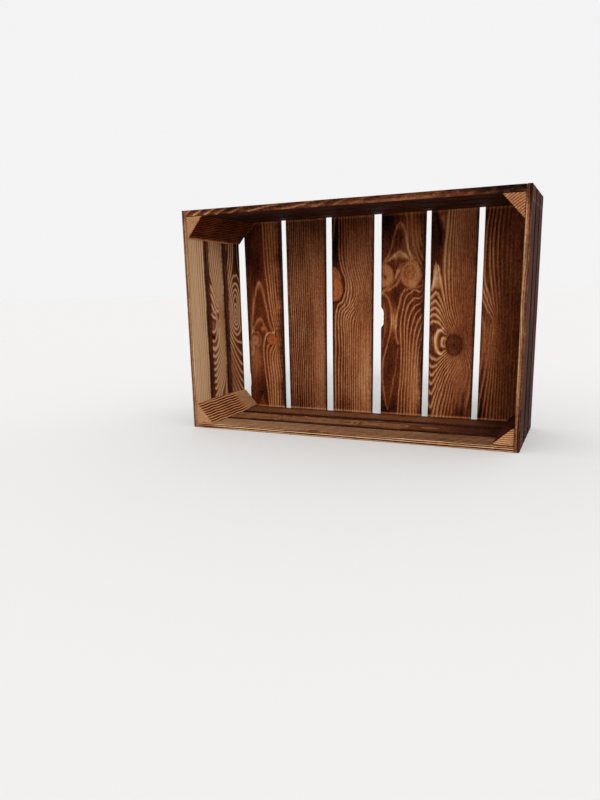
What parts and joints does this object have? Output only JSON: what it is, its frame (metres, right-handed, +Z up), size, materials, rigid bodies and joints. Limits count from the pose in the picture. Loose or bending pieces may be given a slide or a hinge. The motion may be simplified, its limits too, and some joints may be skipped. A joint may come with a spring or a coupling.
{
  "type": "slatted wooden fruit crate",
  "caption": "Open-front slatted wooden fruit crate with triangular corner posts and a slatted floor, scorched and brushed softwood, standing on its long side as a shelf box.",
  "frame": {"origin": "middle of the long side's outer face that the crate stands on", "axes": "+X along the crate's length to the right, seen from its open front; +Y from the open front to the crate's slatted floor; +Z up, across the crate's width"},
  "size_m": [0.6, 0.2, 0.4],
  "materials": {
    "post_wood": "scorched and brushed softwood with paler sawn ends, matt",
    "wall_wood": "scorched and brushed softwood, raised grain, darker along the edges, satin",
    "floor_wood": "scorched and brushed softwood, raised grain, nearly black along the edges, satin",
    "nail_steel": "dulled wire nail"
  },
  "bodies": {
    "root": {"post_top_left": "post_wood", "post_top_right": "post_wood", "post_bottom_left": "post_wood", "post_bottom_right": "post_wood", "left_end_front": "wall_wood", "left_end_middle": "wall_wood", "left_end_back": "wall_wood", "right_end_front": "wall_wood", "right_end_middle": "wall_wood", "right_end_back": "wall_wood", "top_side_front": "wall_wood", "top_side_middle": "wall_wood", "top_side_back": "wall_wood", "bottom_side_front": "wall_wood", "bottom_side_middle": "wall_wood", "bottom_side_back": "wall_wood", "floor_slat_1": "floor_wood", "floor_slat_2": "floor_wood", "floor_slat_3": "floor_wood", "floor_slat_4": "floor_wood", "floor_slat_5": "floor_wood", "floor_slat_6": "floor_wood", "left_end_nails": "nail_steel", "right_end_nails": "nail_steel", "top_side_nails": "nail_steel", "bottom_side_nails": "nail_steel", "floor_nails": "nail_steel"}
  },
  "joints": []
}
